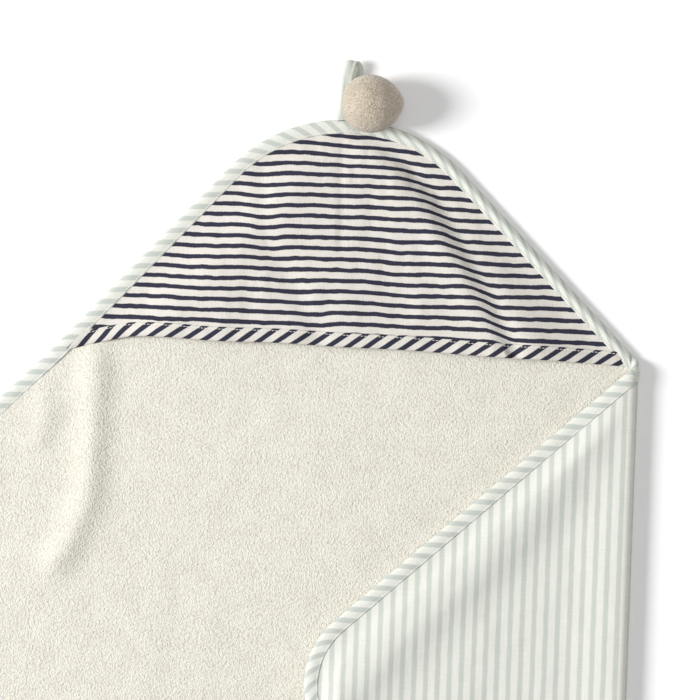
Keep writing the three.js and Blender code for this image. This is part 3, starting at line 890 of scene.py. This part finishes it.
def thick(piece, thickness, offset=-1.0):
    """Gives a sheet its thickness, with its own faces as the outer side."""
    solid = piece.modifiers.new("thickness", "SOLIDIFY")
    solid.thickness = thickness * MM
    solid.offset = offset
    solid.use_even_offset = False
    return piece


loop_knots = np.array([
    (-6.6, 486.6, 4.6), (-5.9, 497, 6.2), (-4.6, 512, 8.4), (-3.2, 524, 10.6), (-1.6, 532.5, 11.8),
    (-0.4, 536.0, 10.6), (1.6, 536.4, 7.8), (4.4, 533, 5.2), (4.6, 524, 3.0), (1.4, 510, 1.8),
    (-3.6, 497, 1.6), (-6.8, 486.6, 2.4),
])
knot_run = np.concatenate([[0], np.cumsum(np.linalg.norm(np.diff(loop_knots[:, :3], axis=0), axis=1))])
fine = np.linspace(0, knot_run[-1], 90)


def eased(values):
    """A smooth curve through the knots, one value at each fine station."""
    slopes = np.gradient(values, knot_run)
    i = np.clip(np.searchsorted(knot_run, fine) - 1, 0, len(knot_run) - 2)
    span = knot_run[i + 1] - knot_run[i]
    t = (fine - knot_run[i]) / span
    result = (2 * t**3 - 3 * t**2 + 1) * values[i] + (t**3 - 2 * t**2 + t) * span * slopes[i]
    return result + (-2 * t**3 + 3 * t**2) * values[i + 1] + (t**3 - t**2) * span * slopes[i + 1]


spine = np.stack([eased(loop_knots[:, k]) for k in range(3)], axis=1)
forward = np.gradient(spine, axis=0)
forward /= np.linalg.norm(forward, axis=1)[:, None]
points, cloth = [], []
across_steps = np.linspace(-0.5, 0.5, 9)
for k in range(len(spine)):
    wide = np.array((1.0, -0.05, 0.12 * math.sin(fine[k] / 14)))
    out = np.cross(wide, forward[k])
    out /= np.linalg.norm(out)
    for side_share in across_steps:
        bulge = 0.5 * (1 - (2 * side_share) ** 4) + 0.25 * math.sin(9 * side_share + fine[k] / 6)
        points.append(spine[k] + wide * LOOP_WIDTH * side_share + out * bulge)
        wide_at = LOOP_WIDTH * (side_share + 0.5)
        cloth.append(((fine[k] - wide_at) * math.sqrt(0.5), (fine[k] + wide_at) * math.sqrt(0.5), 0))
points = np.array(points)
faces = grid_faces(len(spine), len(across_steps), points)
loop = sheet_mesh("hanging_loop_strip", points, faces, np.array(cloth))
thick(loop, 1.0, 0)
loop.data.materials.append(binding_material)
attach(loop, "loop")
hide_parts("hanging_loop")

# ------------------------------------------------------------------ bar tack
# A few short stitches of dark thread, sewn through the binding and both ends of the loop, which
# hold the loop in the hood's tip.
TACK_STITCHES = 5
tack_material, tree, principled = new_material(
    "dark thread", Roughness=0.7, Base_Color=linear(96, 98, 96)
)
tack_at = [np.array((-9.4 + 1.1 * k, 486.2 + 0.12 * k)) for k in range(TACK_STITCHES)]
tack_along, tack_side = np.array((0.96, 0.28)), np.array((-0.28, 0.96))
tack = stitches("loop_bar_tack_stitches", tack_at, [tack_along] * TACK_STITCHES,
                [tack_side] * TACK_STITCHES, [6.75] * TACK_STITCHES, 1.5, 0.5)
tack.data.materials.append(tack_material)
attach(tack, "hood")
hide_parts("loop_bar_tack")

# ------------------------------------------------------------------ bobble
# A ball of short fleecy plush, gathered shut over stuffing and sewn to the hood's tip by a few
# turns of thread.
BOBBLE_RADIUS = 23.4
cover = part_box("bobble_cover")
bobble_at = np.array([(low + high) / 2 / MM for low, high in zip(cover[0], cover[1])])
work = bmesh.new()
bmesh.ops.create_icosphere(work, subdivisions=4, radius=BOBBLE_RADIUS)
mesh = bpy.data.meshes.new("bobble_plush")
work.to_mesh(mesh)
work.free()
bobble = bpy.data.objects.new("bobble_plush", mesh)
bpy.context.scene.collection.objects.link(bobble)
ball = np.array([v.co for v in mesh.vertices])
unit = ball / BOBBLE_RADIUS
azimuth = np.arctan2(ball[:, 1], ball[:, 0])
lumps = 0.5 * waves(ball[:, 0] + 90, ball[:, 1] + 90, 17, 53)
lumps += 0.25 * waves(ball[:, 0] + 60, ball[:, 2] + 60, 6, 54)
pointed = 2.2 * np.exp(-(((azimuth - 0.1) / 0.35) ** 2) - (ball[:, 2] / 12) ** 2)
shaped = (ball + unit * (lumps + pointed)[:, None]) * (1.06, 1, 1) + (-2.6, -3.0, 0)

# The plush is held at the seam, and the stuffing presses the rest of it out by about a millimetre.
PUFF_LIMIT = 1.6  # no point of the cover moves further than this
mesh.vertices.foreach_set("co", (shaped * MM).ravel())
seat = np.array((0.0, -0.82, -0.57))
held = bobble.vertex_groups.new(name="held")
held.add([int(k) for k in np.nonzero(unit @ seat > 0.93)[0]], 1.0, "REPLACE")
inflate = bobble.modifiers.new("inflate", "CLOTH")
inflate.settings.quality = 6
inflate.settings.mass = 0.15
inflate.settings.tension_stiffness = inflate.settings.compression_stiffness = 25
inflate.settings.bending_stiffness = 0.4
inflate.settings.shrink_min = -0.05
inflate.settings.vertex_group_mass = "held"
inflate.settings.use_pressure = True
inflate.settings.uniform_pressure_force = 4
inflate.settings.effector_weights.gravity = 0
inflate.point_cache.frame_start, inflate.point_cache.frame_end = 1, 20
for frame_number in range(1, 21):
    bpy.context.scene.frame_set(frame_number)
puffed = bobble.evaluated_get(bpy.context.evaluated_depsgraph_get())
moved = np.array([v.co for v in puffed.data.vertices]) / MM - shaped
bobble.modifiers.clear()
bpy.context.scene.frame_set(1)
reach = np.linalg.norm(moved, axis=1)[:, None]
shaped += moved * np.minimum(1, PUFF_LIMIT / np.maximum(reach, 1e-6))

# It lies on the floor, and bulges over the loop that lies beside it.
placed = shaped + bobble_at
limit = -2.9 - 4.4 * smooth(placed[:, 2], 12, 19)
over = np.clip(limit + 3 - placed[:, 0], 0, None)
placed[:, 0] = np.where(over > 0, limit + 3 - 3 * (1 - np.exp(-over / 3)), placed[:, 0])
under = np.clip(2.2 - placed[:, 2], 0, None)
placed[:, 2] = np.where(under > 0, 2.2 - 2.0 * (1 - np.exp(-under / 2.0)), placed[:, 2])
mesh.vertices.foreach_set("co", (placed * MM).ravel())
mesh.attributes.new("cloth", "FLOAT_VECTOR", "POINT").data.foreach_set(
    "vector", ball.astype(np.float32).ravel()
)
mesh.polygons.foreach_set("use_smooth", [True] * len(mesh.polygons))
finer = bobble.modifiers.new("finer", "SUBSURF")
finer.levels = finer.render_levels = 1
# The second, darker taupe is painted shade between the plush tufts.
plush_material = pile_material(
    "cream plush", linear(206, 194, 176), linear(170, 157, 138), 1.3, 1.2, Sheen_Weight=0.3
)
bobble.data.materials.append(plush_material)
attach(bobble, "bobble")
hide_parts("bobble_cover", "bobble_filling")

SEWN_TURNS = 5
sew_at = [np.array((15.8 + 0.7 * k, 486.6)) for k in range(SEWN_TURNS)]
sew_along, sew_side = np.array((0.0, 1.0)), np.array((1.0, 0.0))
sew = stitches("bobble_sewing_stitches", sew_at, [sew_along] * SEWN_TURNS, [sew_side] * SEWN_TURNS,
               [7.4] * SEWN_TURNS, 4.0, 0.55)
sew.data.materials.append(thread_material)
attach(sew, "bobble")
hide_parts("bobble_sewing_thread")

# ------------------------------------------------------------------ floor, light and camera
# A plain white floor, a wide soft lamp low on the left with a weak one overhead, and the camera
# straight above the hood, looking down.
floor_mesh = bpy.data.meshes.new("floor")
half = 3.0
floor_corners = [(-half, -half, 0), (half, -half, 0), (half, half, 0), (-half, half, 0)]
floor_mesh.from_pydata(floor_corners, [], [(0, 1, 2, 3)])
floor = bpy.data.objects.new("floor", floor_mesh)
bpy.context.scene.collection.objects.link(floor)
floor_material, tree, principled = new_material("white floor", Roughness=1.0, Base_Color=(1.0, 1.0, 1.0, 1))
principled.inputs["Specular IOR Level"].default_value = 0.0
floor_mesh.materials.append(floor_material)


def lamp(name, at, towards, size, power):
    data = bpy.data.lights.new(name, "AREA")
    data.shape = "DISK"
    data.size = size
    data.energy = power
    made = bpy.data.objects.new(name, data)
    made.location = at
    made.rotation_euler = (Vector(towards) - Vector(at)).to_track_quat("-Z", "Y").to_euler()
    bpy.context.scene.collection.objects.link(made)
    return made


aim = (0, 0.29, 0)
lamp("window_light", (-4.2, 0.2, 2.75), aim, 1.9, 285)
lamp("ceiling_light", (0.6, 0.6, 3.0), aim, 2.5, 22)
world = bpy.data.worlds.new("studio")
world.use_nodes = True
world.node_tree.nodes["Background"].inputs["Color"].default_value = (1, 1, 1, 1)
world.node_tree.nodes["Background"].inputs["Strength"].default_value = 0.34
bpy.context.scene.world = world
bpy.context.scene.view_settings.view_transform = "Standard"

camera_data = bpy.data.cameras.new("camera")
camera_data.type = "PERSP"
camera_data.sensor_width = 36
CAMERA_DISTANCE, VIEW_WIDTH = 2.5, 0.5915
camera_data.lens = 36 * CAMERA_DISTANCE / VIEW_WIDTH
camera = bpy.data.objects.new("camera", camera_data)
camera.location = (0.0074, 0.2932, 2.505)
camera.rotation_euler = (0, 0, math.radians(2.11))
bpy.context.scene.collection.objects.link(camera)
bpy.context.scene.camera = camera
